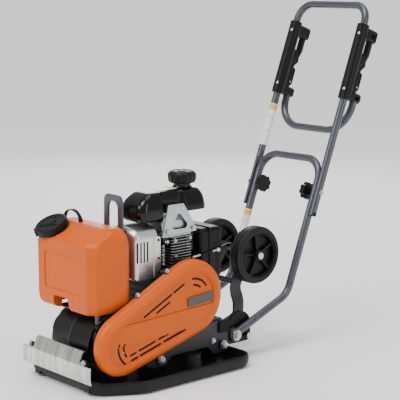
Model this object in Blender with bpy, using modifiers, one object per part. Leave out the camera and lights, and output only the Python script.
"""Forward plate compactor: cast base plate with an exciter, engine on rubber mounts, belt drive under a
guard, water tank, folding handle and swing-down transport wheels.

Metres, +Z up. The origin is the centre of the sole, on the ground. The machine drives towards -Y, and +X is
the belt side. Every shape is worked out from the driving dimensions below.
"""

from math import atan2, cos, pi, radians, sin, sqrt, tau

import bmesh
import bpy
from mathutils import Matrix, Vector

# Driving dimensions -------------------------------------------------------------------------------------
GAP = 0.0003  # left between pieces that touch

PLATE_WIDTH = 0.420
PLATE_LENGTH = 0.504
PLATE_FLOOR = 0.010
RIM_HEIGHT = 0.036
NOSE_LIFT = 0.012
NOSE_WIDTH = 0.280

EXCITER_Y = -0.164
EXCITER_Z = 0.124
EXCITER_RADIUS = 0.045
EXCITER_LENGTH = 0.190
EXCITER_SHAFT_RADIUS = 0.0125
EXCITER_PULLEY_RADIUS = 0.048

CRANK_Y = 0.069
CRANK_Z = 0.213
CRANK_RADIUS = 0.011
CLUTCH_RADIUS = 0.075
BELT_DEPTH = 0.006
BELT_WIDTH = 0.011
BELT_X = 0.149

GUARD_BACK_X = 0.137
GUARD_DEPTH = 0.028
GUARD_WALL = 0.003
GUARD_ROUND = 0.012
GUARD_LOW_RADIUS = 0.080
GUARD_HIGH_RADIUS = 0.104
GUARD_RIM = 0.028
GUARD_RECESS = 0.0025

BED_HALF_WIDTH = 0.125
BED_WALL = 0.006
BED_TOP = 0.120
BED_STEP_Y = 0.188
BED_STEP_Z = 0.088
BED_FRONT_Y = -0.096
BED_REAR_Y = 0.226
MOUNT_FRONT_Y = -0.020
MOUNT_REAR_Y = 0.203
MOUNT_Z = 0.054
MOUNT_RADIUS = 0.021
LUG_X = 0.078
LUG_WALL = 0.008

ENGINE_NEAR_X = 0.104
ENGINE_FAR_X = -0.036
CASE_HALF_DEPTH = 0.066
CASE_TOP = 0.288
BARREL_Y = 0.082
BARREL_HALF_DEPTH = 0.037
HEAD_HALF_DEPTH = 0.053
BARREL_TOP = 0.372
FIN_COUNT = 8
FIN_DEPTH = 0.008
HEAD_TOP = 0.424
FAN_RADIUS = 0.088
FAN_DEPTH = 0.072
FAN_WALL = 0.003
FLYWHEEL_RADIUS = 0.072

MUFFLER_FRONT_Y = -0.078
SHIELD_BACK_Y = -0.003
SHIELD_BOTTOM = 0.290
SHIELD_TOP = 0.412
SHIELD_WALL = 0.0015

CARRIER_WALL = 0.004

FUEL_NEAR_X = 0.096
FUEL_FAR_X = -0.004
FUEL_FRONT_Y = -0.052
FUEL_REAR_Y = 0.172
FUEL_BOTTOM = 0.416
FUEL_STEP = 0.020
FUEL_TOP = 0.484
FUEL_NECK = 0.028
FUEL_CAP_X = 0.040
FUEL_CAP_Y = 0.132
FUEL_CAP_RADIUS = 0.039
FUEL_CAP_TOP = 0.537

FILTER_FRONT_Y = 0.150
FILTER_REAR_Y = 0.232
FILTER_BOTTOM = 0.236
FILTER_TOP = 0.379

TANK_HALF_WIDTH = 0.126
TANK_FRONT_Y = -0.247
TANK_REAR_Y = -0.108
TANK_BOTTOM = 0.201
TANK_CREASE = 0.393
TANK_TOP = 0.421
WATER_CAP_RADIUS = 0.045
WATER_CAP_X = -0.080
WATER_CAP_Y = -0.214
WATER_CAP_Z = 0.409
WATER_CAP_TILT = radians(26)

BAR_Y = -0.268
BAR_FOOT = 0.037
BAR_TOP_SEAT = 0.070

TAP_X = 0.094
TAP_Y = -0.196
TAP_HEIGHT = 0.024

LOOP_Y = -0.086
LOOP_X = 0.019
LOOP_WIDTH = 0.076
LOOP_BAR = 0.018
LOOP_THICK = 0.006
LOOP_TOP = 0.493

TUBE_RADIUS = 0.0112
PIVOT_Y = 0.251
PIVOT_Z = 0.072
PIVOT_SHAFT_RADIUS = 0.008
LOWER_LEG_X = 0.1225
LOWER_BEND_Y = 0.457
LOWER_BEND_Z = 0.155
LOWER_LENGTH = 0.400
HANDLE_LEAN = radians(20.7)
CORNER_RADIUS = 0.062
KNOB_ALONG = 0.304
UPPER_LEG_X = 0.137
UPPER_CORNER = 0.050
UPPER_TAIL = 0.068
UPPER_LENGTH = 0.567
GRIP_START = 0.282
GRIP_LENGTH = 0.226
GRIP_RADIUS = 0.018
GRIP_OFFSET = 0.043
REAR_TUBE_DROP = 0.106
REAR_TUBE_CORNER = 0.078
KNOB_X = 0.093
KNOB_RADIUS = 0.0255

WHEEL_RADIUS = 0.082
WHEEL_WIDTH = 0.040
WHEEL_X = 0.082
AXLE_Y = 0.365
AXLE_Z = 0.277
AXLE_RADIUS = 0.006
ARM_X = 0.054
ARM_WIDTH = 0.038
ARM_THICK = 0.006

# Clearing the scene, collections and materials ------------------------------------------------------------
for leftover in list(bpy.data.objects):
    bpy.data.objects.remove(leftover)
PARTS = bpy.data.collections.new("plate_compactor")
bpy.context.scene.collection.children.link(PARTS)


def look(name, colour, metallic, roughness):
    made = bpy.data.materials.new(name)
    made.use_nodes = True
    shader = made.node_tree.nodes["Principled BSDF"]
    shader.inputs["Base Color"].default_value = (*colour, 1.0)
    shader.inputs["Metallic"].default_value = metallic
    shader.inputs["Roughness"].default_value = roughness
    made.diffuse_color = (*colour, 1.0)
    return made


ORANGE = look("orange_plastic", (0.74, 0.19, 0.035), 0.0, 0.35)
FRAME_GREY = look("frame_paint", (0.092, 0.087, 0.110), 0.0, 0.35)
BED_GREY = look("bed_paint", (0.060, 0.058, 0.066), 0.0, 0.45)
BLACK_IRON = look("black_iron", (0.012, 0.012, 0.013), 0.0, 0.5)
BLACK_PLASTIC = look("black_plastic", (0.014, 0.014, 0.015), 0.0, 0.4)
GLOSS_BLACK = look("gloss_black", (0.008, 0.008, 0.009), 0.0, 0.15)
RUBBER = look("rubber", (0.020, 0.020, 0.021), 0.0, 0.8)
ZINC = look("zinc", (0.58, 0.58, 0.58), 0.9, 0.35)
ALUMINIUM = look("aluminium", (0.45, 0.46, 0.47), 0.9, 0.45)
SHEET_STEEL = look("sheet_steel", (0.60, 0.60, 0.60), 0.9, 0.3)


# Building blocks --------------------------------------------------------------------------------------------
def as_object(name, mesh, surface):
    """Puts a finished mesh into the scene as one sub-part, with smooth round faces."""
    mesh.name = name
    made = bpy.data.objects.new(name, mesh)
    PARTS.objects.link(made)
    mesh.materials.clear()
    mesh.materials.append(surface)
    mesh.shade_smooth()
    mesh.set_sharp_from_angle(angle=radians(35))
    return made


def from_bmesh(name, shape, surface):
    bmesh.ops.recalc_face_normals(shape, faces=shape.faces)
    mesh = bpy.data.meshes.new(name)
    shape.to_mesh(mesh)
    shape.free()
    return as_object(name, mesh, surface)


def evaluated_mesh(source):
    bpy.context.view_layer.update()
    graph = bpy.context.evaluated_depsgraph_get()
    return bpy.data.meshes.new_from_object(source.evaluated_get(graph))


def apply_modifiers(piece):
    mesh = evaluated_mesh(piece)
    surface = piece.data.materials[0]
    piece.modifiers.clear()
    piece.data = mesh
    mesh.name = piece.name
    mesh.materials.clear()
    mesh.materials.append(surface)
    mesh.shade_smooth()
    mesh.set_sharp_from_angle(angle=radians(35))
    return piece


def combine(piece, others, operation):
    """Joins the others to a piece, or cuts them from it, and removes them."""
    for other in others:
        step = piece.modifiers.new("combine", "BOOLEAN")
        step.operation = operation
        step.solver = "EXACT"
        step.object = other
        apply_modifiers(piece)
        bpy.data.objects.remove(other)
    return piece


def join(piece, *others):
    return combine(piece, others, "UNION")


def cut(piece, *others):
    return combine(piece, others, "DIFFERENCE")


def round_edges(piece, width, segments=2, angle=40):
    bevel = piece.modifiers.new("round_edges", "BEVEL")
    bevel.width = width
    bevel.segments = segments
    bevel.limit_method = "ANGLE"
    bevel.angle_limit = radians(angle)
    return apply_modifiers(piece)


def box(name, low, high, surface, rounding=0.0, segments=2):
    low = Vector(low)
    high = Vector(high)
    shape = bmesh.new()
    bmesh.ops.create_cube(shape, size=1.0)
    place = Matrix.Translation((low + high) / 2) @ Matrix.Diagonal((*(high - low), 1.0))
    bmesh.ops.transform(shape, matrix=place, verts=shape.verts)
    made = from_bmesh(name, shape, surface)
    return round_edges(made, rounding, segments) if rounding else made


def rod(name, start, end, radius, surface, sides=20, end_radius=None, rounding=0.0):
    """A cylinder or cone from one point to another."""
    start = Vector(start)
    end = Vector(end)
    shape = bmesh.new()
    bmesh.ops.create_cone(
        shape,
        cap_ends=True,
        segments=sides,
        radius1=radius,
        radius2=radius if end_radius is None else end_radius,
        depth=(end - start).length,
    )
    turn = (end - start).to_track_quat("Z", "Y").to_matrix().to_4x4()
    bmesh.ops.transform(shape, matrix=Matrix.Translation((start + end) / 2) @ turn, verts=shape.verts)
    made = from_bmesh(name, shape, surface)
    return round_edges(made, rounding) if rounding else made


def turned(name, profile, centre, axis, surface, steps=32):
    """Revolves a closed profile of (along the axis, radius) points around an axis through the centre."""
    shape = bmesh.new()
    ring = [shape.verts.new((radius, 0.0, along)) for along, radius in profile]
    loop = [shape.edges.new(pair) for pair in zip(ring, ring[1:] + ring[:1])]
    bmesh.ops.spin(
        shape, geom=ring + loop, cent=(0, 0, 0), axis=(0, 0, 1), angle=tau, steps=steps, use_merge=True
    )
    bmesh.ops.remove_doubles(shape, verts=shape.verts, dist=1e-6)
    bmesh.ops.dissolve_degenerate(shape, edges=shape.edges, dist=1e-7)
    loose = [edge for edge in shape.edges if not edge.link_faces]
    bmesh.ops.delete(shape, geom=loose, context="EDGES")
    turn = Vector(axis).to_track_quat("Z", "Y").to_matrix().to_4x4()
    bmesh.ops.transform(shape, matrix=Matrix.Translation(centre) @ turn, verts=shape.verts)
    return from_bmesh(name, shape, surface)


def loft(name, rings, surface):
    """Skins rings of equal point count, in order, and closes both ends."""
    shape = bmesh.new()
    rows = [[shape.verts.new(point) for point in ring] for ring in rings]
    for row, following in zip(rows, rows[1:]):
        for first, second in zip(range(len(row)), [*range(1, len(row)), 0]):
            shape.faces.new((row[first], row[second], following[second], following[first]))
    shape.faces.new(rows[0])
    shape.faces.new(rows[-1])
    return from_bmesh(name, shape, surface)


PLANES = {
    "YZ": Matrix(((0, 0, 1, 0), (1, 0, 0, 0), (0, 1, 0, 0), (0, 0, 0, 1))),
    "XZ": Matrix(((1, 0, 0, 0), (0, 0, -1, 0), (0, 1, 0, 0), (0, 0, 0, 1))),
    "XY": Matrix.Identity(4),
}


def flat(name, outlines, plane, near, far, surface):
    """A flat piece: the first outline is its edge and the others are holes, between two depths."""
    curve = bpy.data.curves.new(name, "CURVE")
    curve.dimensions = "2D"
    curve.fill_mode = "BOTH"
    curve.extrude = abs(far - near) / 2
    for outline in outlines:
        spline = curve.splines.new("POLY")
        spline.points.add(len(outline) - 1)
        for point, (first, second) in zip(spline.points, outline):
            point.co = (first, second, 0.0, 1.0)
        spline.use_cyclic_u = True
    guide = bpy.data.objects.new(name, curve)
    PARTS.objects.link(guide)
    mesh = evaluated_mesh(guide)
    bpy.data.objects.remove(guide)
    depth = (near + far) / 2 * (-1 if plane == "XZ" else 1)
    shape = bmesh.new()
    shape.from_mesh(mesh)
    bpy.data.meshes.remove(mesh)
    bmesh.ops.remove_doubles(shape, verts=shape.verts, dist=1e-6)
    bmesh.ops.transform(shape, matrix=PLANES[plane] @ Matrix.Translation((0, 0, depth)), verts=shape.verts)
    return from_bmesh(name, shape, surface)


def tube(name, path, radius, surface, sides=12):
    """A round bar along a line of points, with closed ends."""
    curve = bpy.data.curves.new(name, "CURVE")
    curve.dimensions = "3D"
    curve.bevel_depth = radius
    curve.bevel_resolution = sides // 2 - 2
    curve.use_fill_caps = True
    spline = curve.splines.new("POLY")
    spline.points.add(len(path) - 1)
    for point, place in zip(spline.points, path):
        point.co = (*place, 1.0)
    guide = bpy.data.objects.new(name, curve)
    PARTS.objects.link(guide)
    mesh = evaluated_mesh(guide)
    bpy.data.objects.remove(guide)
    shape = bmesh.new()
    shape.from_mesh(mesh)
    bpy.data.meshes.remove(mesh)
    bmesh.ops.remove_doubles(shape, verts=shape.verts, dist=1e-6)
    return from_bmesh(name, shape, surface)


def mirrored(piece, name):
    """The same piece on the other side of the machine."""
    mesh = piece.data.copy()
    mesh.transform(Matrix.Diagonal((-1, 1, 1, 1)) @ piece.matrix_basis)
    mesh.flip_normals()
    return as_object(name, mesh, piece.data.materials[0])


def pivot_at(piece, point):
    """Moves a piece's origin to a point, such as one on its joint's axis."""
    piece.data.transform(Matrix.Translation(-Vector(point)))
    piece.location = point
    return piece


# Outlines ---------------------------------------------------------------------------------------------------
def arc(centre, radius, start, end, steps):
    return [
        (centre[0] + radius * cos(start + (end - start) * i / steps),
         centre[1] + radius * sin(start + (end - start) * i / steps))
        for i in range(steps + 1)
    ]


def rounded(corners, steps=4):
    """Rounds each (point, radius) corner of a closed flat outline."""
    points = []
    for index, (corner, radius) in enumerate(corners):
        here = Vector(corner)
        before = (Vector(corners[index - 1][0]) - here).normalized()
        after = (Vector(corners[(index + 1) % len(corners)][0]) - here).normalized()
        if radius <= 0:
            points.append(tuple(here))
            continue
        half = before.angle(after) / 2
        reach = radius / sin(half) * cos(half)
        centre = here + (before + after).normalized() * radius / sin(half)
        first = here + before * reach - centre
        last = here + after * reach - centre
        swing = atan2(first.x * last.y - first.y * last.x, first.dot(last))
        start = atan2(first.y, first.x)
        points += arc(centre, radius, start, start + swing, steps)
    return points


def rounded_path(corners, radius, steps=5):
    """Rounds the inner corners of an open line of 3-D points."""
    path = [Vector(corners[0])]
    for before, here, after in zip(corners, corners[1:], corners[2:]):
        here = Vector(here)
        back = (Vector(before) - here).normalized()
        ahead = (Vector(after) - here).normalized()
        half = back.angle(ahead) / 2
        reach = radius * cos(half) / sin(half)
        centre = here + (back + ahead).normalized() * radius / sin(half)
        first = here + back * reach - centre
        last = here + ahead * reach - centre
        swing = first.angle(last)
        for i in range(steps + 1):
            share = i / steps
            path.append(
                centre + (first * sin((1 - share) * swing) + last * sin(share * swing)) / sin(swing)
            )
    path.append(Vector(corners[-1]))
    return path


def rectangle(low, high, radius, steps=4):
    corners = [(low[0], low[1]), (high[0], low[1]), (high[0], high[1]), (low[0], high[1])]
    return rounded([(corner, radius) for corner in corners], steps)


def ring_at(outline, height):
    return [(x, y, height) for x, y in outline]


def ring_across(outline, x):
    return [(x, y, z) for y, z in outline]


def hull(low_radius, high_radius, steps=10):
    """The outline of a belt round the exciter pulley and the clutch drum, for two radii."""
    run = Vector((CRANK_Y - EXCITER_Y, CRANK_Z - EXCITER_Z))
    lean = atan2(run.y, run.x)
    spread = atan2(high_radius - low_radius, sqrt(run.length_squared - (high_radius - low_radius) ** 2))
    tangent = pi / 2 + spread
    high = arc((CRANK_Y, CRANK_Z), high_radius, lean - tangent, lean + tangent, steps)
    low = arc((EXCITER_Y, EXCITER_Z), low_radius, lean + tangent, lean + tau - tangent, steps)
    return high + low


def slot(start, end, width, steps=2):
    """A straight slot with round ends."""
    start = Vector(start)
    end = Vector(end)
    heading = atan2(end.y - start.y, end.x - start.x)
    return arc(end, width / 2, heading - pi / 2, heading + pi / 2, steps) + arc(
        start, width / 2, heading + pi / 2, heading + 3 * pi / 2, steps
    )


def arc_slot(centre, radius, start, end, width, steps=6):
    """A slot that follows an arc."""
    outer = arc(centre, radius + width / 2, start, end, steps)
    inner = arc(centre, radius - width / 2, end, start, steps)
    return outer + inner


# Base plate, exciter and front bar ----------------------------------------------------------------------------
def plate_outline(inset):
    half = PLATE_WIDTH / 2
    end = PLATE_LENGTH / 2
    nose = NOSE_WIDTH / 2
    shoulder = -end + 0.120
    corners = [
        ((half - inset, end - inset), 0.045),
        ((-half + inset, end - inset), 0.045),
        ((-half + inset, shoulder), 0.080),
        ((-nose + inset * 0.6, -end + inset), 0.050),
        ((nose - inset * 0.6, -end + inset), 0.050),
        ((half - inset, shoulder), 0.080),
    ]
    return rounded([(corner, max(radius - inset, 0.012)) for corner, radius in corners], 4)


def lifted(ring):
    """Bends the nose of the plate up."""
    reach = 0.030
    start = -PLATE_LENGTH / 2 + reach
    return [(x, y, z + NOSE_LIFT * max(0.0, (start - y) / reach) ** 2) for x, y, z in ring]


def base_plate():
    steps = [
        (0.080, 0.0),
        (0.026, 0.0015),
        (0.006, 0.0045),
        (0.001, 0.014),
        (0.0, RIM_HEIGHT - 0.006),
        (0.003, RIM_HEIGHT),
        (0.008, RIM_HEIGHT),
        (0.011, RIM_HEIGHT - 0.006),
        (0.018, PLATE_FLOOR + 0.005),
        (0.034, PLATE_FLOOR),
        (0.080, PLATE_FLOOR),
    ]
    plate = loft("base_plate", [lifted(ring_at(plate_outline(inset), z)) for inset, z in steps], BLACK_IRON)
    lugs = []
    for side in (-1, 1):
        for y in (MOUNT_FRONT_Y, MOUNT_REAR_Y):
            wide = MOUNT_RADIUS + 0.002
            outline = rounded(
                [
                    ((y - wide - 0.008, PLATE_FLOOR - 0.003), 0),
                    ((y + wide + 0.008, PLATE_FLOOR - 0.003), 0),
                    ((y + wide, MOUNT_Z + wide), 0.014),
                    ((y - wide, MOUNT_Z + wide), 0.014),
                ],
                3,
            )
            near = side * (LUG_X - LUG_WALL)
            lugs.append(
                flat("lug", [outline], "YZ", min(near, side * LUG_X), max(near, side * LUG_X), BLACK_IRON)
            )
    for side in (-1, 1):
        ends = sorted((side * 0.100, side * 0.122))
        lugs.append(
            box("post", (ends[0], BAR_Y + 0.004 + GAP, BAR_FOOT + 0.013),
                (ends[1], -PLATE_LENGTH / 2 + 0.012, BAR_TOP_SEAT), BLACK_IRON)
        )
        lugs.append(
            box("rib", (ends[0], -PLATE_LENGTH / 2 + 0.003, PLATE_FLOOR - 0.002),
                (ends[1], -PLATE_LENGTH / 2 + 0.012, BAR_TOP_SEAT), BLACK_IRON)
        )
    return join(plate, *lugs)


def exciter():
    half = EXCITER_LENGTH / 2
    centre = (EXCITER_Y, EXCITER_Z)
    wall = 0.009
    foot = EXCITER_RADIUS + 0.014
    floor = PLATE_FLOOR + GAP
    outline = [
        *arc(centre, EXCITER_RADIUS, 0, pi, 16),
        (EXCITER_Y - EXCITER_RADIUS, floor + 0.016),
        (EXCITER_Y - foot + 0.004, floor + 0.012),
        (EXCITER_Y - foot + 0.010, floor),
        (EXCITER_Y + foot, floor),
        (EXCITER_Y + foot, floor + 0.012),
        (EXCITER_Y + EXCITER_RADIUS, floor + 0.016),
    ]
    housing = flat("exciter_housing", [outline], "YZ", -half, half, BLACK_IRON)
    bore = rod(
        "bore", (-half + wall, *centre), (half + 0.01, *centre), EXCITER_RADIUS - wall, BLACK_IRON, 28
    )
    end_bore = rod(
        "bore", (-half - 0.01, *centre), (half, *centre), EXCITER_SHAFT_RADIUS + GAP, BLACK_IRON, 20
    )
    cut(housing, bore, end_bore)
    seat = half + GAP
    cover = turned(
        "exciter_cover",
        [
            (seat, EXCITER_SHAFT_RADIUS + GAP),
            (seat, EXCITER_RADIUS),
            (seat + 0.008, EXCITER_RADIUS),
            (seat + 0.010, EXCITER_RADIUS - 0.003),
            (seat + 0.010, 0.026),
            (seat + 0.020, 0.023),
            (seat + 0.020, EXCITER_SHAFT_RADIUS + GAP),
        ],
        (0, *centre),
        (1, 0, 0),
        BLACK_IRON,
    )
    shaft = rod(
        "exciter_shaft", (-half - 0.006, *centre), (BELT_X + 0.010, *centre), EXCITER_SHAFT_RADIUS, ZINC, 20
    )
    weight_radius = EXCITER_RADIUS - wall - 0.003
    weight = flat(
        "weight",
        [arc(centre, weight_radius, -pi, 0, 14) + [(EXCITER_Y + 0.016, EXCITER_Z + 0.012),
                                                   (EXCITER_Y - 0.016, EXCITER_Z + 0.012)]],
        "YZ",
        -half + wall + 0.012,
        half - 0.012,
        ZINC,
    )
    join(shaft, weight)
    pivot_at(shaft, (0, *centre))
    pulley(
        "exciter_pulley", EXCITER_Y, EXCITER_Z, EXCITER_PULLEY_RADIUS, EXCITER_SHAFT_RADIUS + GAP, ALUMINIUM
    )
    return housing, cover, shaft


def pulley(name, y, z, radius, bore, surface):
    """A grooved pulley whose groove holds the belt."""
    half = BELT_WIDTH / 2 + 0.003
    made = turned(
        name,
        [
            (-half, bore),
            (-half, radius + BELT_DEPTH * 0.7),
            (-BELT_WIDTH / 2 - GAP, radius + BELT_DEPTH * 0.7),
            (-BELT_WIDTH / 2 + 0.002, radius - GAP),
            (BELT_WIDTH / 2 - 0.002, radius - GAP),
            (BELT_WIDTH / 2 + GAP, radius + BELT_DEPTH * 0.7),
            (half, radius + BELT_DEPTH * 0.7),
            (half, bore),
        ],
        (BELT_X, y, z),
        (1, 0, 0),
        surface,
    )
    return pivot_at(made, (BELT_X, y, z))


def belt():
    inner = hull(EXCITER_PULLEY_RADIUS, CLUTCH_RADIUS, 24)
    outer = hull(EXCITER_PULLEY_RADIUS + BELT_DEPTH, CLUTCH_RADIUS + BELT_DEPTH, 24)
    half = BELT_WIDTH / 2
    rings = [
        ring_across(inner, BELT_X - half + 0.002),
        ring_across(outer, BELT_X - half),
        ring_across(outer, BELT_X + half),
        ring_across(inner, BELT_X + half - 0.002),
    ]
    shape = bmesh.new()
    rows = [[shape.verts.new(point) for point in ring] for ring in rings]
    for row, following in zip(rows, rows[1:] + rows[:1]):
        for first, second in zip(range(len(row)), [*range(1, len(row)), 0]):
            shape.faces.new((row[first], row[second], following[second], following[first]))
    return from_bmesh("v_belt", shape, RUBBER)


def front_bar():
    """Bent zinc sheet across the nose, wider at its foot than at its rolled top."""
    y = BAR_Y
    low = 0.150
    high = 0.103
    foot = BAR_FOOT
    step = 0.084
    thick = 0.004
    section = [
        (y + 0.002, foot),
        (y, foot + 0.010),
        (y, step - 0.010),
        (y + 0.005, step + 0.010),
        (y + 0.012, step + 0.026),
        (y + 0.018, step + 0.032),
        (y + 0.025, step + 0.032),
        (y + 0.028, step + 0.027),
        (y + 0.021, step + 0.027),
        (y + 0.016, step + 0.024),
        (y + thick + 0.005, step + 0.008),
        (y + thick, step - 0.012),
        (y + thick, foot + 0.010),
        (y + 0.006, foot + 0.001),
    ]
    bar = flat("front_bar", [section], "YZ", -low, low, ZINC)
    trims = []
    for side in (-1, 1):
        ends = sorted((side * high, side * (low + 0.01)))
        trims.append(
            box("trim", (ends[0], y - 0.05, step), (ends[1], y + 0.08, step + 0.08), ZINC)
        )
    return cut(bar, *trims)


# Engine bed, mounts, stops ------------------------------------------------------------------------------------
def engine_bed():
    half = BED_HALF_WIDTH
    side_outline = rounded(
        [
            ((BED_FRONT_Y, BED_TOP), 0),
            ((BED_FRONT_Y + 0.004, 0.070), 0.012),
            ((MOUNT_FRONT_Y - 0.032, MOUNT_Z - 0.020), 0.020),
            ((MOUNT_FRONT_Y + 0.026, MOUNT_Z - 0.020), 0.014),
            ((MOUNT_FRONT_Y + 0.040, MOUNT_Z + 0.002), 0.010),
            ((MOUNT_REAR_Y - 0.052, MOUNT_Z + 0.002), 0.010),
            ((MOUNT_REAR_Y - 0.030, MOUNT_Z - 0.022), 0.008),
            ((MOUNT_REAR_Y + 0.012, MOUNT_Z - 0.022), 0.012),
            ((BED_REAR_Y, 0.050), 0.010),
            ((BED_REAR_Y, BED_STEP_Z), 0.004),
            ((BED_STEP_Y, BED_STEP_Z), 0),
            ((BED_STEP_Y, BED_TOP), 0),
        ],
        3,
    )
    top = BED_TOP - BED_WALL
    inner = BED_LUG_X + BED_WALL + 0.002
    clear = MOUNT_Z + MOUNT_RADIUS + 0.006
    bed = box("engine_bed", (-half, BED_FRONT_Y, top), (half, BED_STEP_Y, BED_TOP), BED_GREY)
    tail_outline = [
        (BED_STEP_Y - 0.010, top),
        (BED_REAR_Y - BED_WALL, top),
        (BED_REAR_Y - BED_WALL, clear),
        (BED_REAR_Y, clear),
        (BED_REAR_Y, BED_TOP),
        (BED_STEP_Y - 0.010, BED_TOP),
    ]
    tail = flat("tail", [tail_outline], "YZ", -inner, inner, BED_GREY)
    sides = [flat("side", [side_outline], "YZ", *sorted((s * (half - BED_WALL), s * half)), BED_GREY)
             for s in (-1, 1)]
    edge = half - 0.002
    web = box("web", (-edge, BED_STEP_Y - BED_WALL, clear), (edge, BED_STEP_Y - 0.001, top + 0.002), BED_GREY)
    join(bed, tail, *sides, web)
    eye = 0.024
    lug_outline = [
        (BED_REAR_Y - 0.003, BED_TOP - 0.003),
        (BED_REAR_Y - 0.003, BED_STEP_Z),
        *arc((PIVOT_Y, PIVOT_Z), eye, radians(-120), radians(-60), 4),
        *arc((PIVOT_Y + PIN_REACH, PIVOT_Z - PIN_DROP), 0.014, radians(-80), radians(80), 5),
        *arc((PIVOT_Y, PIVOT_Z), eye, radians(40), radians(85), 3),
    ]
    lugs = [flat("lug", [lug_outline], "YZ", *sorted((s * BED_LUG_X, s * (BED_LUG_X + BED_WALL))), BED_GREY)
            for s in (-1, 1)]
    join(bed, *lugs)
    shaft_hole = rod(
        "hole", (-half, PIVOT_Y, PIVOT_Z), (half, PIVOT_Y, PIVOT_Z), PIVOT_SHAFT_RADIUS + GAP, BED_GREY, 20
    )
    pin_hole = rod(
        "hole", (0, *PIN_CENTRE), (half, *PIN_CENTRE), PIN_RADIUS + GAP, BED_GREY, 16
    )
    cut(bed, shaft_hole, pin_hole)
    heads = []
    for side in (-1, 1):
        for y in (MOUNT_FRONT_Y, MOUNT_REAR_Y):
            heads.append(
                rod("head", (side * (half - 0.002), y, MOUNT_Z), (side * (half + 0.007), y, MOUNT_Z),
                    0.0105, BED_GREY, 6)
            )
    return join(bed, *heads)


def rubber_mounts():
    made = []
    for side, hand in ((-1, "right"), (1, "left")):
        for y, end in ((MOUNT_FRONT_Y, "front"), (MOUNT_REAR_Y, "rear")):
            length = BED_HALF_WIDTH - BED_WALL - LUG_X - 2 * GAP
            start = LUG_X + GAP
            profile = [
                (0, 0),
                (0, MOUNT_RADIUS),
                (0.003, MOUNT_RADIUS),
                (length * 0.5, MOUNT_RADIUS - 0.003),
                (length - 0.003, MOUNT_RADIUS),
                (length, MOUNT_RADIUS),
                (length, 0),
            ]
            made.append(
                turned(f"rubber_mount_{end}_{hand}", profile, (side * start, y, MOUNT_Z), (side, 0, 0),
                       RUBBER, 24)
            )
    return made


def handle_stops():
    """Rubber blocks at the rear corners of the bed."""
    left = box(
        "handle_stop_left",
        (BED_HALF_WIDTH - 0.012, BED_STEP_Y + GAP, BED_STEP_Z + GAP),
        (BED_HALF_WIDTH + 0.007, BED_REAR_Y, BED_STEP_Z + 0.032),
        RUBBER,
        0.003,
    )
    return left, mirrored(left, "handle_stop_right")


# Belt guard ---------------------------------------------------------------------------------------------------
def guard_ring(inset, x):
    return ring_across(hull(GUARD_LOW_RADIUS - inset, GUARD_HIGH_RADIUS - inset), x)


def belt_guard():
    back = GUARD_BACK_X
    face = GUARD_BACK_X + GUARD_DEPTH
    bend = GUARD_ROUND
    rings = [
        guard_ring(bend, face - GUARD_WALL - 0.0005),
        guard_ring(GUARD_WALL + bend * 0.3, face - GUARD_WALL - bend * 0.3),
        guard_ring(GUARD_WALL, face - bend),
        guard_ring(GUARD_WALL, back),
        guard_ring(0.0, back),
    ]
    for i in range(4):
        angle = pi / 2 * i / 3
        rings.append(guard_ring(bend * (1 - cos(angle)), face - bend + bend * sin(angle)))
    rings.append(guard_ring(GUARD_RIM - 0.002, face))
    rings.append(guard_ring(GUARD_RIM, face - GUARD_RECESS))
    guard = loft("belt_guard", rings, ORANGE)
    depths = (face - GUARD_WALL - 0.004, face + 0.004)
    cutters = [flat("slot", [outline], "YZ", *depths, ORANGE) for outline in guard_slots()]
    return cut(guard, *cutters)


def guard_slots():
    """Ventilation slots: arcs round both shafts and rows along both edges of the guard."""
    high = (CRANK_Y, CRANK_Z)
    low = (EXCITER_Y, EXCITER_Z)
    run = Vector((CRANK_Y - EXCITER_Y, CRANK_Z - EXCITER_Z))
    lean = atan2(run.y, run.x)
    spread = atan2(GUARD_HIGH_RADIUS - GUARD_LOW_RADIUS, run.length)
    width = 0.006
    low_arc = (EXCITER_Y + 0.034, EXCITER_Z - 0.004)
    slots = [
        arc_slot(high, 0.053, radians(30), radians(95), width),
        arc_slot(high, 0.036, radians(45), radians(90), width),
        arc_slot(low_arc, 0.053, radians(165), radians(235), width),
        arc_slot(low_arc, 0.036, radians(160), radians(225), width),
    ]
    along = Vector((cos(lean + spread), sin(lean + spread)))
    aside = Vector((-along.y, along.x))
    start = Vector(low) + aside * (GUARD_LOW_RADIUS - 0.050)
    for first, last, shift in ((0.089, 0.190, 0.0), (0.200, 0.238, 0.0), (0.128, 0.176, -0.015)):
        slots.append(slot(start + along * first + aside * shift, start + along * last + aside * shift, width))
    along = Vector((cos(lean - spread), sin(lean - spread)))
    aside = Vector((along.y, -along.x))
    start = Vector(low) + aside * (GUARD_LOW_RADIUS - 0.034)
    for first, last, shift in ((0.012, 0.030, 0.0), (0.042, 0.110, 0.0), (0.124, 0.196, 0.0),
                               (0.012, 0.030, -0.014), (0.042, 0.096, -0.014), (0.110, 0.140, -0.014)):
        slots.append(slot(start + along * first + aside * shift, start + along * last + aside * shift, width))
    return slots


def guard_back_plate():
    """Steel plate that closes the guard behind the pulleys and bolts to the bed."""
    outline = hull(GUARD_LOW_RADIUS - 0.001, GUARD_HIGH_RADIUS - 0.001)
    holes = [
        arc((CRANK_Y, CRANK_Z), 0.022, 0, tau * 23 / 24, 23),
        arc((EXCITER_Y, EXCITER_Z), 0.027, 0, tau * 23 / 24, 23),
    ]
    return flat(
        "guard_back_plate", [outline, *holes], "YZ", GUARD_BACK_X - 0.003 - GAP, GUARD_BACK_X - GAP, BED_GREY
    )


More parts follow.
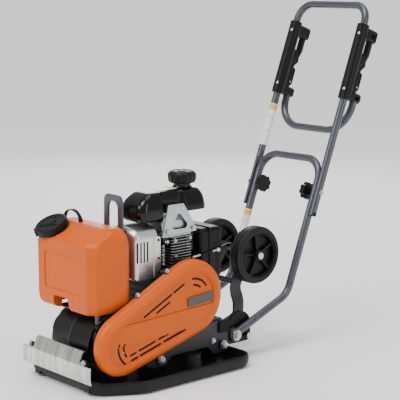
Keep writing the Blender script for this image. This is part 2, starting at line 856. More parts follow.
# Engine -------------------------------------------------------------------------------------------------------
def crankcase():
    low = (ENGINE_FAR_X, CRANK_Y - CASE_HALF_DEPTH, BED_TOP + GAP)
    high = (ENGINE_NEAR_X, CRANK_Y + CASE_HALF_DEPTH, CASE_TOP)
    case = box("crankcase", low, high, ALUMINIUM, 0.008, 2)
    feet = box(
        "feet",
        (ENGINE_FAR_X + 0.010, CRANK_Y - CASE_HALF_DEPTH - 0.012, BED_TOP + GAP),
        (ENGINE_NEAR_X - 0.010, CRANK_Y + CASE_HALF_DEPTH + 0.012, BED_TOP + 0.012),
        ALUMINIUM,
        0.002,
        1,
    )
    boss = rod(
        "boss",
        (ENGINE_NEAR_X - 0.010, CRANK_Y, CRANK_Z),
        (ENGINE_NEAR_X + 0.012, CRANK_Y, CRANK_Z),
        0.052,
        ALUMINIUM,
        28,
        rounding=0.002,
    )
    join(case, feet, boss)
    hollow = box(
        "hollow",
        (ENGINE_FAR_X + 0.012, CRANK_Y - CASE_HALF_DEPTH + 0.012, BED_TOP + 0.020),
        (ENGINE_NEAR_X - 0.014, CRANK_Y + CASE_HALF_DEPTH - 0.012, CASE_TOP + 0.010),
        ALUMINIUM,
    )
    bearing = rod(
        "bearing",
        (ENGINE_FAR_X - 0.020, CRANK_Y, CRANK_Z),
        (ENGINE_NEAR_X + 0.030, CRANK_Y, CRANK_Z),
        CRANK_RADIUS + GAP,
        ALUMINIUM,
        20,
    )
    return cut(case, hollow, bearing)


def crankshaft():
    end_far = ENGINE_FAR_X - FAN_DEPTH + 0.012
    shaft = rod(
        "crankshaft", (end_far, CRANK_Y, CRANK_Z), (BELT_X + 0.010, CRANK_Y, CRANK_Z), CRANK_RADIUS, ZINC, 20
    )
    middle = (ENGINE_FAR_X + ENGINE_NEAR_X) / 2
    webs = []
    for side in (-1, 1):
        inner = middle + side * 0.010
        outer = middle + side * 0.022
        outline = arc((CRANK_Y, CRANK_Z - 0.006), 0.032, radians(180), radians(360), 10)
        outline += arc((CRANK_Y, CRANK_Z + 0.018), 0.014, radians(20), radians(160), 5)
        webs.append(flat("web", [outline], "YZ", *sorted((inner, outer)), ZINC))
    crank_pin = rod(
        "pin", (middle - 0.014, CRANK_Y, CRANK_Z + 0.018), (middle + 0.014, CRANK_Y, CRANK_Z + 0.018),
        0.011, ZINC, 16
    )
    gap = box(
        "gap", (middle - 0.010, CRANK_Y - 0.02, CRANK_Z - 0.02), (middle + 0.010, CRANK_Y + 0.02, CRANK_Z + 0.006),
        ZINC
    )
    join(shaft, *webs, crank_pin)
    cut(shaft, gap)
    return pivot_at(shaft, (middle, CRANK_Y, CRANK_Z))


def flywheel():
    near = ENGINE_FAR_X - 0.010
    wheel = turned(
        "flywheel",
        [
            (0, CRANK_RADIUS + GAP),
            (0, FLYWHEEL_RADIUS - 0.004),
            (0.006, FLYWHEEL_RADIUS),
            (0.024, FLYWHEEL_RADIUS),
            (0.024, FLYWHEEL_RADIUS - 0.016),
            (0.010, FLYWHEEL_RADIUS - 0.018),
            (0.010, 0.024),
            (0.030, 0.022),
            (0.030, CRANK_RADIUS + GAP),
        ],
        (near, CRANK_Y, CRANK_Z),
        (-1, 0, 0),
        ALUMINIUM,
    )
    return pivot_at(wheel, (near, CRANK_Y, CRANK_Z))


def clutch_drum():
    return pulley("clutch_drum", CRANK_Y, CRANK_Z, CLUTCH_RADIUS, CRANK_RADIUS + GAP, ALUMINIUM)


def cylinder_block():
    """Upright barrel with level cooling fins."""
    bottom = CASE_TOP + GAP
    pitch = (BARREL_TOP - bottom) / FIN_COUNT
    near = ENGINE_NEAR_X - 0.004
    far = ENGINE_FAR_X + 0.030

    def outline(inset):
        return rectangle(
            (far + inset, BARREL_Y - BARREL_HALF_DEPTH + inset),
            (near - inset, BARREL_Y + BARREL_HALF_DEPTH - inset),
            0.010,
            2,
        )

    rings = [ring_at(outline(FIN_DEPTH), bottom)]
    for fin in range(FIN_COUNT):
        top = bottom + pitch * (fin + 1)
        rings.append(ring_at(outline(FIN_DEPTH), top - pitch * 0.42))
        rings.append(ring_at(outline(0.0), top - pitch * 0.32))
        rings.append(ring_at(outline(0.0), top - pitch * 0.10))
        rings.append(ring_at(outline(FIN_DEPTH), top))
    return loft("cylinder_block", rings, ALUMINIUM)


def cylinder_head():
    bottom = BARREL_TOP + GAP
    near = ENGINE_NEAR_X - 0.006
    far = ENGINE_FAR_X + 0.030
    shapes = [(0.0, bottom), (0.0, bottom + 0.012), (0.006, bottom + 0.013), (0.006, HEAD_TOP - 0.010),
              (0.016, HEAD_TOP)]
    rings = []
    for inset, z in shapes:
        rings.append(
            ring_at(
                rectangle(
                    (far + inset, CRANK_Y - HEAD_HALF_DEPTH + inset),
                    (near - inset, CRANK_Y + HEAD_HALF_DEPTH - inset),
                    0.014,
                    3,
                ),
                z,
            )
        )
    return loft("cylinder_head", rings, ALUMINIUM)


def lift_bracket():
    """Triangular plate on the belt side of the head, with a foot that bolts to it."""
    near = ENGINE_NEAR_X - 0.002
    base = BARREL_TOP + 0.008
    outline = rounded(
        [
            ((CRANK_Y - 0.056, base), 0.003),
            ((CRANK_Y + 0.062, base), 0.003),
            ((CRANK_Y + 0.060, base + 0.010), 0.004),
            ((CRANK_Y + 0.016, base + 0.080), 0.006),
            ((CRANK_Y - 0.036, base + 0.080), 0.004),
        ],
        3,
    )
    hole = rounded(
        [
            ((CRANK_Y - 0.030, base + 0.012), 0.008),
            ((CRANK_Y + 0.038, base + 0.012), 0.008),
            ((CRANK_Y + 0.000, base + 0.060), 0.006),
        ],
        3,
    )
    return flat("lift_bracket", [outline, hole], "YZ", near - 0.004 + GAP, near, ALUMINIUM)


def muffler():
    inset = 0.008
    body = box(
        "muffler",
        (ENGINE_FAR_X + 0.030, MUFFLER_FRONT_Y + inset, SHIELD_BOTTOM + inset),
        (ENGINE_NEAR_X - 0.006 - inset, SHIELD_BACK_Y - 0.002, SHIELD_TOP - 0.022),
        BLACK_IRON,
        0.012,
        2,
    )
    stub = rod(
        "stub",
        (0.040, SHIELD_BACK_Y - 0.020, 0.350),
        (0.040, BARREL_Y - BARREL_HALF_DEPTH - GAP, 0.350),
        0.014,
        BLACK_IRON,
        20,
    )
    return join(body, stub)


def muffler_shield():
    """Bright sheet shield over the muffler, domed on top, with upright louvre slots."""
    far = ENGINE_FAR_X + 0.016
    near = ENGINE_NEAR_X - 0.006
    back = SHIELD_BACK_Y

    def arch(inset, y):
        wide = (near - far) / 2 - inset
        middle = (near + far) / 2
        top = SHIELD_TOP - inset
        corners = [
            ((middle - wide, SHIELD_BOTTOM + inset), 0.004),
            ((middle + wide, SHIELD_BOTTOM + inset), 0.004),
            ((middle + wide, top - 0.012), 0.026),
            ((middle, top), 0.050),
            ((middle - wide, top - 0.012), 0.026),
        ]
        return [(x, y, z) for x, z in rounded(corners, 4)]

    front = MUFFLER_FRONT_Y
    wall = SHIELD_WALL
    rings = [
        arch(wall + 0.006, front + wall),
        arch(wall, front + wall + 0.006),
        arch(wall, back),
        arch(0.0, back),
        arch(0.0, front + 0.008),
        arch(0.003, front + 0.002),
        arch(0.009, front),
    ]
    shield = loft("muffler_shield", rings, SHEET_STEEL)
    slots = []
    for i in range(4):
        y = back - 0.033 - i * 0.011
        slots.append(
            box("slot", (near - 0.01, y - 0.002, SHIELD_BOTTOM + 0.030), (near + 0.01, y + 0.002, SHIELD_TOP - 0.052),
                SHEET_STEEL)
        )
    return cut(shield, *slots)


def carburettor():
    y = BARREL_Y + BARREL_HALF_DEPTH
    body = box(
        "carburettor", (0.028, y + 0.008, 0.318), (0.068, FILTER_FRONT_Y - GAP, 0.358), ALUMINIUM, 0.004
    )
    stub = rod("stub", (0.048, y + GAP, 0.340), (0.048, y + 0.012, 0.340), 0.016, ALUMINIUM, 20)
    bowl = rod(
        "bowl", (0.048, y + 0.017, 0.292), (0.048, y + 0.017, 0.322), 0.013, ALUMINIUM, 20, rounding=0.003
    )
    return join(body, stub, bowl)


def air_filter():
    near = ENGINE_NEAR_X - 0.008
    far = ENGINE_FAR_X + 0.004
    body = box(
        "air_filter", (far, FILTER_FRONT_Y, FILTER_BOTTOM), (near, FILTER_REAR_Y, FILTER_TOP), BLACK_PLASTIC,
        0.016, 3
    )
    seam = box(
        "seam", (far - 0.003, FILTER_FRONT_Y + 0.030, FILTER_BOTTOM - 0.003),
        (near + 0.003, FILTER_FRONT_Y + 0.036, FILTER_TOP + 0.003), BLACK_PLASTIC, 0.012, 3
    )
    return join(body, seam)


def fuel_tank():
    middle = CRANK_Y
    arch = BARREL_TOP + 0.080
    rear_bottom = FUEL_BOTTOM + FUEL_STEP
    outline = rounded(
        [
            ((FUEL_FRONT_Y + 0.006, FUEL_BOTTOM), 0.014),
            ((middle - 0.050, FUEL_BOTTOM), 0.016),
            ((middle - 0.046, arch), 0.014),
            ((middle + 0.034, arch), 0.014),
            ((middle + 0.038, rear_bottom), 0.008),
            ((FUEL_REAR_Y - 0.010, rear_bottom), 0.016),
            ((FUEL_REAR_Y, rear_bottom + 0.018), 0.014),
            ((FUEL_REAR_Y - 0.018, FUEL_TOP), 0.016),
            ((FUEL_FRONT_Y + 0.030, FUEL_TOP), 0.026),
            ((FUEL_FRONT_Y, FUEL_BOTTOM + 0.030), 0.026),
        ],
        4,
    )
    tank = flat("fuel_tank", [outline], "YZ", FUEL_FAR_X, FUEL_NEAR_X, GLOSS_BLACK)
    round_edges(tank, 0.010, 2, 60)
    corner = box("corner", (-0.050, -0.050, -0.1), (0.050, 0.050, 0.1), GLOSS_BLACK)
    corner.data.transform(Matrix.Rotation(radians(50), 4, "Z"))
    reach = 0.046
    corner.data.transform(Matrix.Translation((FUEL_FAR_X - reach, FUEL_FRONT_Y - reach * 0.6, FUEL_TOP)))
    cut(tank, corner)
    neck = rod(
        "neck",
        (FUEL_CAP_X, FUEL_CAP_Y, FUEL_TOP - 0.020),
        (FUEL_CAP_X, FUEL_CAP_Y, FUEL_TOP + FUEL_NECK),
        FUEL_CAP_RADIUS - 0.015,
        GLOSS_BLACK,
        28,
    )
    join(tank, neck)
    filler = rod(
        "filler",
        (FUEL_CAP_X, FUEL_CAP_Y, FUEL_TOP - 0.030),
        (FUEL_CAP_X, FUEL_CAP_Y, FUEL_TOP + FUEL_NECK + 0.005),
        FUEL_CAP_RADIUS - 0.018,
        GLOSS_BLACK,
        24,
    )
    return cut(tank, filler)


def fuel_cap():
    top = FUEL_CAP_TOP - FUEL_TOP
    reach = FUEL_CAP_RADIUS
    inner = reach - 0.015 + GAP
    seat = FUEL_NECK + GAP
    cap = turned(
        "fuel_cap",
        [
            (seat, 0),
            (seat, inner),
            (seat - 0.008, inner),
            (seat - 0.008, reach - 0.003),
            (seat, reach - 0.001),
            (top - 0.008, reach),
            (top - 0.002, reach - 0.003),
            (top, reach - 0.009),
            (top, 0),
        ],
        (FUEL_CAP_X, FUEL_CAP_Y, FUEL_TOP),
        (0, 0, 1),
        BLACK_PLASTIC,
        32,
    )
    return pivot_at(cap, (FUEL_CAP_X, FUEL_CAP_Y, FUEL_TOP))


def fan_housing():
    """Shell over the flywheel and the recoil starter."""
    near = ENGINE_FAR_X - GAP
    depth = FAN_DEPTH
    shell = turned(
        "fan_housing",
        [
            (0, FAN_RADIUS),
            (depth * 0.55, FAN_RADIUS),
            (depth * 0.72, FAN_RADIUS - 0.008),
            (depth * 0.76, FAN_RADIUS - 0.030),
            (depth - 0.004, FAN_RADIUS - 0.034),
            (depth, FAN_RADIUS - 0.040),
            (depth, 0),
            (depth - FAN_WALL, 0),
            (depth - FAN_WALL, FAN_RADIUS - 0.041),
            (depth * 0.72 - FAN_WALL, FAN_RADIUS - 0.037),
            (depth * 0.66, FAN_RADIUS - FAN_WALL - 0.008),
            (depth * 0.55 - 0.002, FAN_RADIUS - FAN_WALL),
            (0, FAN_RADIUS - FAN_WALL),
        ],
        (near, CRANK_Y, CRANK_Z),
        (-1, 0, 0),
        BLACK_PLASTIC,
    )
    return shell


def starter_grip():
    x = ENGINE_FAR_X - FAN_DEPTH + 0.020
    y = CRANK_Y + 0.030
    z = CRANK_Z + FAN_RADIUS + GAP
    grip = box("starter_grip", (x - 0.011, y - 0.026, z + 0.006), (x + 0.011, y + 0.026, z + 0.024),
               BLACK_PLASTIC, 0.006, 2)
    stem = rod("stem", (x, y, z), (x, y, z + 0.010), 0.007, BLACK_PLASTIC, 16)
    return pivot_at(join(grip, stem), (x, y, z))


def lever(name, pivot, toward, surface, length=0.030):
    """A small flat lever with a round eye, turning about X."""
    x, y, z = pivot
    heading = atan2(toward[1], toward[0])
    tip = (y + length * cos(heading), z + length * sin(heading))
    made = flat(name, [slot((y, z), tip, 0.011, 6)], "YZ", x, x + 0.004, surface)
    knob = rod("knob", (x + 0.002, *tip), (x + 0.014, *tip), 0.0065, surface, 16, rounding=0.0015)
    return pivot_at(join(made, knob), pivot)


def spark_plug():
    z = BARREL_TOP - 0.014
    y = BARREL_Y - BARREL_HALF_DEPTH
    plug = turned(
        "spark_plug",
        [(0, 0), (0, 0.0095), (0.007, 0.0095), (0.009, 0.006), (0.012, 0.006), (0.012, 0)],
        (0.082, y - GAP, z),
        (0, -1, 0),
        SHEET_STEEL,
        12,
    )
    return plug


# Water system -------------------------------------------------------------------------------------------------
def tank_outline(inset_x, front, rear, radius):
    return rectangle((-TANK_HALF_WIDTH + inset_x, front), (TANK_HALF_WIDTH - inset_x, rear), radius, 4)


def water_tank():
    front = TANK_FRONT_Y
    rear = TANK_REAR_Y
    low = TANK_BOTTOM
    shapes = [
        (0.024, front + 0.022, rear - 0.020, 0.016, low),
        (0.010, front + 0.008, rear - 0.008, 0.024, low + 0.006),
        (0.003, front + 0.002, rear - 0.002, 0.030, low + 0.018),
        (0.000, front, rear, 0.032, low + 0.060),
        (0.001, front + 0.001, rear - 0.001, 0.032, TANK_CREASE - 0.020),
        (0.003, front + 0.006, rear - 0.002, 0.032, TANK_CREASE),
        (0.006, front + 0.030, rear - 0.004, 0.030, TANK_CREASE + 0.012),
        (0.012, front + 0.056, rear - 0.010, 0.026, TANK_TOP - 0.004),
        (0.024, front + 0.074, rear - 0.024, 0.020, TANK_TOP),
    ]
    rings = [ring_at(tank_outline(dx, y0, y1, radius), z) for dx, y0, y1, radius, z in shapes]
    tank = loft("water_tank", rings, ORANGE)
    notch = box(
        "notch", (-0.047, front - 0.01, low - 0.01), (0.017, front + 0.040, low + 0.034), ORANGE, 0.006
    )
    recess = box("recess", (-0.095, front + 0.028, low - 0.01), (0.045, rear - 0.020, low + 0.028), ORANGE)
    cut(tank, notch, recess)
    along = Vector((0, -sin(WATER_CAP_TILT), cos(WATER_CAP_TILT)))
    seat = Vector((WATER_CAP_X, WATER_CAP_Y, WATER_CAP_Z))
    dish = rod("dish", seat - along * 0.0095, seat + along * 0.05, WATER_CAP_RADIUS + 0.003, ORANGE, 28)
    cut(tank, dish)
    neck = rod("neck", seat - along * 0.030, seat, WATER_CAP_RADIUS - 0.010, ORANGE, 28)
    join(tank, neck)
    well = rod("well", seat - along * 0.060, seat + along * 0.01, WATER_CAP_RADIUS - 0.014, ORANGE, 24)
    return cut(tank, well)


def water_cap():
    along = Vector((0, -sin(WATER_CAP_TILT), cos(WATER_CAP_TILT)))
    seat = Vector((WATER_CAP_X, WATER_CAP_Y, WATER_CAP_Z))
    reach = WATER_CAP_RADIUS
    cap = turned(
        "water_cap",
        [
            (GAP, 0),
            (GAP, reach - 0.010 + GAP),
            (-0.008, reach - 0.010 + GAP),
            (-0.008, reach - 0.003),
            (-0.004, reach),
            (0.012, reach),
            (0.016, reach - 0.004),
            (0.0165, reach - 0.016),
            (0.0135, reach - 0.019),
            (0.0135, 0),
        ],
        seat,
        along,
        BLACK_PLASTIC,
        36,
    )
    return pivot_at(cap, seat)


def cap_strap():
    """Rubber strap that arches from beside the cap to the top of the tank."""
    width = 0.012
    centre = (-0.055, TANK_TOP + GAP)
    arch = arc(centre, 0.030, 0, pi, 12) + arc(centre, 0.027, pi, 0, 12)
    y = -0.161
    return flat("cap_strap", [arch], "XZ", y - width / 2, y + width / 2, RUBBER)


def tank_apron():
    """Folded black sheet that carries the front of the tank, with a ridge down its middle."""
    half = 0.081
    thick = 0.003
    low = EXCITER_Y - EXCITER_RADIUS - 0.013
    top = TANK_BOTTOM - CARRIER_WALL - 2 * GAP
    stations = [(low, 0.098), (low + 0.003, 0.125), (low + 0.015, 0.155), (low + 0.034, 0.177),
                (low + 0.056, top - 0.006), (low + 0.078, top)]

    def row(shift):
        made = []
        for y, z in stations:
            made.append([(-half, y + shift, z), (-0.003, y + shift - 0.004, z), (0.003, y + shift - 0.004, z),
                         (half, y + shift, z)])
        return made

    front = row(0.0)
    back = row(thick)
    rings = [outer + inner[::-1] for outer, inner in zip(front, back)]
    return loft("tank_apron", rings, BLACK_PLASTIC)


def tank_carrier():
    """Folded bracket from the engine bed, round the exciter, to the underside of the tank."""
    wall = CARRIER_WALL
    x = 0.070
    z = TANK_BOTTOM - GAP
    outline = [
        (BED_FRONT_Y, BED_TOP + GAP),
        (BED_FRONT_Y + wall, BED_TOP + GAP),
        (BED_FRONT_Y + wall, z),
        (EXCITER_Y - EXCITER_RADIUS, z),
        (EXCITER_Y - EXCITER_RADIUS, z - wall),
        (BED_FRONT_Y, z - wall),
    ]
    return flat("tank_carrier", [outline], "YZ", -x, x, BED_GREY)


def water_tap():
    z = TANK_BOTTOM - GAP
    body = rod("water_tap", (TAP_X, TAP_Y, z), (TAP_X, TAP_Y, z - TAP_HEIGHT), 0.009, ZINC, 16)
    side = rod("side", (TAP_X, TAP_Y, z - 0.018), (TAP_X + 0.020, TAP_Y, z - 0.018), 0.005, ZINC, 12)
    return join(body, side)


def sprinkler_pipe():
    """Hose from the tap down to the perforated pipe across the nose of the plate."""
    z = 0.068
    y = -PLATE_LENGTH / 2 + 0.035
    x = TAP_X + 0.016
    pipe = tube("sprinkler_pipe", [(-0.125, y, z), (0.125, y, z)], 0.008, BLACK_PLASTIC, 12)
    route = rounded_path(
        [(x, y, z), (x, y, 0.155), (TAP_X, TAP_Y, 0.167), (TAP_X, TAP_Y, TANK_BOTTOM - TAP_HEIGHT - 2 * GAP)],
        0.006,
        3,
    )
    return join(pipe, tube("hose", route, 0.006, BLACK_PLASTIC, 10))


def lifting_loop():
    half = LOOP_WIDTH / 2
    inner = half - LOOP_BAR
    bottom = BED_TOP + GAP
    outline = rounded(
        [
            ((LOOP_X - half - 0.008, bottom), 0),
            ((LOOP_X + half + 0.008, bottom), 0),
            ((LOOP_X + half, LOOP_TOP), 0.020),
            ((LOOP_X - half, LOOP_TOP), 0.020),
        ],
        5,
    )
    window = rounded(
        [
            ((LOOP_X - inner - 0.003, bottom + 0.120), 0.008),
            ((LOOP_X + inner + 0.003, bottom + 0.120), 0.008),
            ((LOOP_X + inner, LOOP_TOP - LOOP_BAR), inner * 0.9),
            ((LOOP_X - inner, LOOP_TOP - LOOP_BAR), inner * 0.9),
        ],
        5,
    )
    return flat(
        "lifting_loop", [outline, window], "XZ", LOOP_Y - LOOP_THICK / 2, LOOP_Y + LOOP_THICK / 2, BED_GREY
    )


# Handle -------------------------------------------------------------------------------------------------------
LEAN = Vector((0, sin(HANDLE_LEAN), cos(HANDLE_LEAN)))
BACKWARD = Vector((0, cos(HANDLE_LEAN), -sin(HANDLE_LEAN)))
BEND = Vector((0, LOWER_BEND_Y, LOWER_BEND_Z))
KNOB_POINT = BEND + LEAN * KNOB_ALONG
BED_LUG_X = 0.092
PIVOT_PLATE_X = 0.1025
PIN_REACH = 0.056
PIN_DROP = 0.012
PIN_RADIUS = 0.005
PIN_TRAVEL = 0.008
PIN_CENTRE = (PIVOT_Y + PIN_REACH, PIVOT_Z - PIN_DROP)


def at_side(point, x):
    return Vector((x, point.y, point.z))


def lower_frame():
    pivot = Vector((0, PIVOT_Y, PIVOT_Z))
    top = BEND + LEAN * LOWER_LENGTH
    x = LOWER_LEG_X
    start = pivot + (BEND - pivot).normalized() * 0.017
    corners = [at_side(start, -x), at_side(BEND, -x), at_side(top, -x), at_side(top, x), at_side(BEND, x),
               at_side(start, x)]
    frame = tube("lower_frame", rounded_path(corners, CORNER_RADIUS, 5), TUBE_RADIUS, FRAME_GREY, 12)
    ends = [rod("eye", (s * (x - 0.008), PIVOT_Y, PIVOT_Z), (s * (x + 0.008), PIVOT_Y, PIVOT_Z), 0.019,
                FRAME_GREY, 24) for s in (-1, 1)]
    join(frame, *ends)
    hole = rod(
        "hole", (-0.2, PIVOT_Y, PIVOT_Z), (0.2, PIVOT_Y, PIVOT_Z), PIVOT_SHAFT_RADIUS + GAP, FRAME_GREY, 20
    )
    bolt = rod("hole", at_side(KNOB_POINT, -0.2), at_side(KNOB_POINT, 0.2), 0.004 + GAP, FRAME_GREY, 12)
    cut(frame, hole, bolt)
    return pivot_at(frame, pivot)


def pivot_shaft():
    reach = LOWER_LEG_X + 0.008
    shaft = rod("pivot_shaft", (-reach - 0.004, PIVOT_Y, PIVOT_Z), (reach + 0.004, PIVOT_Y, PIVOT_Z),
                PIVOT_SHAFT_RADIUS, ZINC, 20)
    heads = [rod("head", (s * (reach + GAP), PIVOT_Y, PIVOT_Z), (s * (reach + 0.006), PIVOT_Y, PIVOT_Z), 0.0155,
                 ZINC, 20) for s in (-1, 1)]
    return join(shaft, *heads)


def pivot_plates():
    """Lock plates on the inner sides of the lower legs."""
    centre = (PIVOT_Y + 0.030, PIVOT_Z + 0.016)
    outline = arc(centre, 0.044, radians(20), radians(120), 8)
    outline += arc((PIVOT_Y, PIVOT_Z), 0.030, radians(130), radians(270), 8)
    outline += arc(PIN_CENTRE, 0.018, radians(-90), radians(20), 5)
    hole = arc((PIVOT_Y, PIVOT_Z), PIVOT_SHAFT_RADIUS + GAP, 0, tau * 19 / 20, 19)
    pin_hole = arc(PIN_CENTRE, PIN_RADIUS + GAP, 0, tau * 15 / 16, 15)
    left = flat("pivot_plate_left", [outline, hole, pin_hole], "YZ", PIVOT_PLATE_X,
                LOWER_LEG_X - TUBE_RADIUS - GAP, BLACK_PLASTIC)
    return left, mirrored(left, "pivot_plate_right")


def lock_pin():
    """Pin on the belt side, drawn clear of the bed so that the handle can fold."""
    start = BED_LUG_X + BED_WALL + GAP
    seat = LOWER_LEG_X - TUBE_RADIUS + PIN_TRAVEL
    pin = rod("lock_pin", (start, *PIN_CENTRE), (seat + 0.004, *PIN_CENTRE), PIN_RADIUS, ZINC, 16)
    head = rod("head", (seat, *PIN_CENTRE), (seat + 0.006, *PIN_CENTRE), 0.0085, ZINC, 16)
    join(pin, head)
    return pivot_at(pin, (start, *PIN_CENTRE))


def upper_frame():
    x = UPPER_LEG_X
    start = KNOB_POINT - LEAN * UPPER_TAIL
    top = KNOB_POINT + LEAN * UPPER_LENGTH
    corners = [at_side(start, -x), at_side(top, -x), at_side(top, x), at_side(start, x)]
    frame = tube("upper_frame", rounded_path(corners, UPPER_CORNER, 5), TUBE_RADIUS, FRAME_GREY, 12)
    inner = LOWER_LEG_X + TUBE_RADIUS + GAP
    trim_end = KNOB_POINT + LEAN * 0.080
    trims = []
    for side in (-1, 1):
        trim = box("trim", (-0.03, -0.04, -0.2), (0.0, 0.04, 0.0), FRAME_GREY)
        trim.data.transform(Matrix.Rotation(-HANDLE_LEAN, 4, "X"))
        if side < 0:
            trim.data.transform(Matrix.Diagonal((-1, 1, 1, 1)))
            trim.data.flip_normals()
        trim.data.transform(Matrix.Translation(at_side(trim_end, side * inner)))
        trims.append(trim)
    bolt = rod("hole", at_side(KNOB_POINT, -0.2), at_side(KNOB_POINT, 0.2), 0.004 + GAP, FRAME_GREY, 12)
    cut(frame, *trims, bolt)
    return pivot_at(frame, KNOB_POINT)


def star_knobs():
    """Eight-lobed knobs whose bolts clamp the two frames together."""
    made = []
    inner = LOWER_LEG_X - TUBE_RADIUS
    outer = UPPER_LEG_X + TUBE_RADIUS
    for side, hand in ((-1, "right"), (1, "left")):
        lobes = []
        for i in range(32):
            angle = tau * i / 32
            reach = KNOB_RADIUS * (0.93 + 0.09 * cos(8 * angle))
            lobes.append((KNOB_POINT.y + reach * cos(angle), KNOB_POINT.z + reach * sin(angle)))
        depths = sorted((side * (KNOB_X - 0.009), side * (KNOB_X + 0.008)))
        knob = flat(f"star_knob_{hand}", [lobes], "YZ", *depths, BLACK_PLASTIC)
        round_edges(knob, 0.003, 1, 60)
        neck = rod("neck", at_side(KNOB_POINT, side * (KNOB_X + 0.005)), at_side(KNOB_POINT, side * (inner - GAP)),
                   0.010, BLACK_PLASTIC, 20)
        stud = rod("stud", at_side(KNOB_POINT, side * KNOB_X), at_side(KNOB_POINT, side * (outer + 0.003)), 0.004,
                   BLACK_PLASTIC, 12)
        join(knob, neck, stud)
        made.append(pivot_at(knob, at_side(KNOB_POINT, side * KNOB_X)))
    return made


def grip_brackets():
    """Covers clamped round the upper legs, whose arms hold the rear grip tube."""
    x = UPPER_LEG_X
    low = KNOB_POINT + LEAN * GRIP_START
    high = low + LEAN * GRIP_LENGTH
    grip = rod("grip_bracket_left", at_side(low, x), at_side(high, x), GRIP_RADIUS, BLACK_PLASTIC, 20)
    arms = []
    for along, height in ((0.016, 0.028), (GRIP_LENGTH - 0.022, 0.036)):
        arm = box("arm", (-0.014, 0.004, -height / 2), (0.014, GRIP_OFFSET + 0.018, height / 2), BLACK_PLASTIC,
                  0.006, 1)
        arm.data.transform(Matrix.Rotation(-HANDLE_LEAN, 4, "X"))
        arm.data.transform(Matrix.Translation(at_side(low + LEAN * along, x)))
        arms.append(arm)
    wave = [
        (GRIP_OFFSET, GRIP_LENGTH - 0.030),
        (GRIP_OFFSET, GRIP_LENGTH - 0.078),
        (GRIP_OFFSET - 0.006, GRIP_LENGTH - 0.096),
        (GRIP_OFFSET - 0.024, GRIP_LENGTH - 0.116),
        (GRIP_OFFSET - 0.027, GRIP_LENGTH - 0.140),
    ]
    path = [at_side(low + BACKWARD * back + LEAN * along, x) for back, along in wave]
    damper = tube("damper", rounded_path(path, 0.012, 2), 0.0105, BLACK_PLASTIC, 10)
    pad = box("pad", (-0.009, 0.014, 0.036), (0.009, GRIP_OFFSET + 0.004, 0.092), BLACK_PLASTIC, 0.006, 1)
    pad.data.transform(Matrix.Rotation(-HANDLE_LEAN, 4, "X"))
    pad.data.transform(Matrix.Translation(at_side(low, x)))
    join(grip, *arms, damper, pad)
    leg_hole = tube("hole", [at_side(low - LEAN * 0.02, x), at_side(high + LEAN * 0.02, x)],
                    TUBE_RADIUS + GAP, BLACK_PLASTIC, 18)
    tail_hole = tube(
        "hole",
        [at_side(low + BACKWARD * GRIP_OFFSET - LEAN * 0.02, x), at_side(low + BACKWARD * GRIP_OFFSET + LEAN * 0.020, x)],
        TUBE_RADIUS + GAP,
        BLACK_PLASTIC,
        18,
    )
    cut(grip, leg_hole, tail_hole)
    pivot_at(grip, KNOB_POINT)
    right = mirrored(grip, "grip_bracket_right")
    pivot_at(right, KNOB_POINT)
    return grip, right


def rear_grip_tube():
    """Second grip below and behind the first, hung from the lower arms."""
    x = UPPER_LEG_X
    start = KNOB_POINT + LEAN * (GRIP_START + 0.0195) + BACKWARD * GRIP_OFFSET
    bottom = start - LEAN * REAR_TUBE_DROP
    corners = [at_side(start, -x), at_side(bottom, -x), at_side(bottom, x), at_side(start, x)]
    grip = tube("rear_grip_tube", rounded_path(corners, REAR_TUBE_CORNER, 5), TUBE_RADIUS, FRAME_GREY, 12)
    return pivot_at(grip, KNOB_POINT)


# Transport wheels ---------------------------------------------------------------------------------------------
def wheel_arms():
    """Two curved flat arms on one tube that turns on the handle's pivot shaft."""
    middle = [
        (PIVOT_Y, PIVOT_Z),
        (PIVOT_Y + 0.068, PIVOT_Z + 0.024),
        (PIVOT_Y + 0.078, PIVOT_Z + 0.066),
        (PIVOT_Y + 0.066, PIVOT_Z + 0.112),
        (PIVOT_Y + 0.084, PIVOT_Z + 0.156),
        (AXLE_Y, AXLE_Z),
    ]
    line = smooth(middle, 3)
    left_edge = []
    right_edge = []
    for before, here, after in zip(line, line[1:], line[2:]):
        heading = (after - before).normalized()
        aside = Vector((-heading.y, heading.x)) * ARM_WIDTH / 2
        left_edge.append(tuple(here + aside))
        right_edge.append(tuple(here - aside))
    start = line[1] - line[0]
    finish = line[-1] - line[-2]
    first = atan2(start.y, start.x)
    last = atan2(finish.y, finish.x)
    outline = arc(line[0], ARM_WIDTH / 2, first + pi / 2, first + 3 * pi / 2, 8)
    outline += right_edge
    outline += arc(line[-1], ARM_WIDTH / 2, last - pi / 2, last + pi / 2, 8)
    outline += left_edge[::-1]
    arms = [flat("arm", [outline], "YZ", *sorted((s * (ARM_X - ARM_THICK / 2), s * (ARM_X + ARM_THICK / 2))),
                 BED_GREY) for s in (-1, 1)]
    sleeve = rod("wheel_arms", (-BED_LUG_X + 0.0015, PIVOT_Y, PIVOT_Z), (BED_LUG_X - 0.0015, PIVOT_Y, PIVOT_Z),
                 0.0145, BED_GREY, 24)
    stay = rod(
        "stay", (-ARM_X, *line[len(line) // 2 + 2]), (ARM_X, *line[len(line) // 2 + 2]), 0.008, BED_GREY, 16
    )
    join(sleeve, *arms, stay)
    hole = rod(
        "hole", (-0.2, PIVOT_Y, PIVOT_Z), (0.2, PIVOT_Y, PIVOT_Z), PIVOT_SHAFT_RADIUS + GAP, BED_GREY, 20
    )
    axle_hole = rod("hole", (-0.2, AXLE_Y, AXLE_Z), (0.2, AXLE_Y, AXLE_Z), AXLE_RADIUS + GAP, BED_GREY, 16)
    cut(sleeve, hole, axle_hole)
    return pivot_at(sleeve, (0, PIVOT_Y, PIVOT_Z))


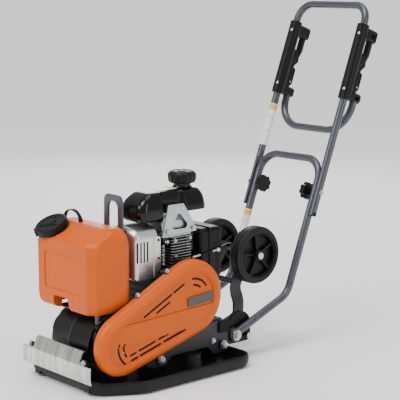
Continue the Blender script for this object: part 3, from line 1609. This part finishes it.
def smooth(points, steps):
    """A Catmull-Rom curve through flat points."""
    knots = [Vector(point) for point in points]
    ends = [knots[0] * 2 - knots[1], *knots, knots[-1] * 2 - knots[-2]]
    line = []
    for a, b, c, d in zip(ends, ends[1:], ends[2:], ends[3:]):
        for i in range(steps):
            t = i / steps
            line.append(0.5 * (2 * b + (c - a) * t + (2 * a - 5 * b + 4 * c - d) * t**2
                               + (3 * b - a - 3 * c + d) * t**3))
    line.append(knots[-1])
    return line


def wheel_axle():
    reach = WHEEL_X + WHEEL_WIDTH / 2
    axle = rod("wheel_axle", (-reach, AXLE_Y, AXLE_Z), (reach, AXLE_Y, AXLE_Z), AXLE_RADIUS, ZINC, 16)
    caps = [rod("cap", (s * (reach + 0.0015), AXLE_Y, AXLE_Z), (s * (reach + 0.008), AXLE_Y, AXLE_Z), 0.010,
                ZINC, 16) for s in (-1, 1)]
    ends = [rod("end", (s * (reach - 0.01), AXLE_Y, AXLE_Z), (s * (reach + 0.003), AXLE_Y, AXLE_Z), AXLE_RADIUS,
                ZINC, 16) for s in (-1, 1)]
    join(axle, *ends, *caps)
    return pivot_at(axle, (0, AXLE_Y, AXLE_Z))


def wheels():
    half = WHEEL_WIDTH / 2
    rim_radius = WHEEL_RADIUS - 0.017
    for side, hand in ((-1, "right"), (1, "left")):
        centre = (side * WHEEL_X, AXLE_Y, AXLE_Z)
        rim = turned(
            f"wheel_rim_{hand}",
            [
                (-half, AXLE_RADIUS + GAP),
                (-half, 0.015),
                (-0.004, 0.016),
                (-0.004, rim_radius - 0.006),
                (-half + 0.003, rim_radius - 0.004),
                (-half + 0.003, rim_radius),
                (half - 0.003, rim_radius),
                (half - 0.003, rim_radius - 0.004),
                (0.004, rim_radius - 0.006),
                (0.004, 0.016),
                (half, 0.015),
                (half, AXLE_RADIUS + GAP),
            ],
            centre,
            (side, 0, 0),
            BLACK_PLASTIC,
            24,
        )
        ribs = []
        for i in range(5):
            rib = box("rib", (-half + 0.006, -0.003, 0.012), (half - 0.006, 0.003, rim_radius - 0.003), BLACK_PLASTIC)
            rib.data.transform(Matrix.Rotation(tau * i / 5 + 0.15, 4, "X"))
            rib.data.transform(Matrix.Translation(centre))
            ribs.append(rib)
        join(rim, *ribs)
        pivot_at(rim, centre)
        tyre = turned(
            f"tyre_{hand}",
            [
                (-half, rim_radius + GAP + 0.0006),
                (-half, WHEEL_RADIUS - 0.007),
                (-half + 0.010, WHEEL_RADIUS),
                (half - 0.010, WHEEL_RADIUS),
                (half, WHEEL_RADIUS - 0.007),
                (half, rim_radius + GAP + 0.0006),
            ],
            centre,
            (side, 0, 0),
            RUBBER,
            36,
        )
        pivot_at(tyre, centre)


base_plate()
exciter()
belt()
front_bar()
engine_bed()
rubber_mounts()
handle_stops()
belt_guard()
guard_back_plate()
crankcase()
crankshaft()
flywheel()
clutch_drum()
cylinder_block()
cylinder_head()
lift_bracket()
muffler()
muffler_shield()
carburettor()
air_filter()
fuel_tank()
fuel_cap()
fan_housing()
starter_grip()
lever("throttle_lever", (ENGINE_NEAR_X - 0.008 + GAP, 0.222, 0.318), (1, 0.2), BLACK_PLASTIC)
lever("choke_lever", (0.068 + GAP, 0.136, 0.345), (-0.2, 1), BLACK_PLASTIC, 0.022)
spark_plug()
water_tank()
water_cap()
cap_strap()
tank_apron()
tank_carrier()
water_tap()
lever("tap_lever", (TAP_X + 0.020 + GAP, TAP_Y, TANK_BOTTOM - 0.018 - GAP), (-1, -0.3), BLACK_PLASTIC, 0.022)
sprinkler_pipe()
lifting_loop()
lower_frame()
pivot_shaft()
pivot_plates()
lock_pin()
upper_frame()
star_knobs()
grip_brackets()
rear_grip_tube()
wheel_arms()
wheel_axle()
wheels()
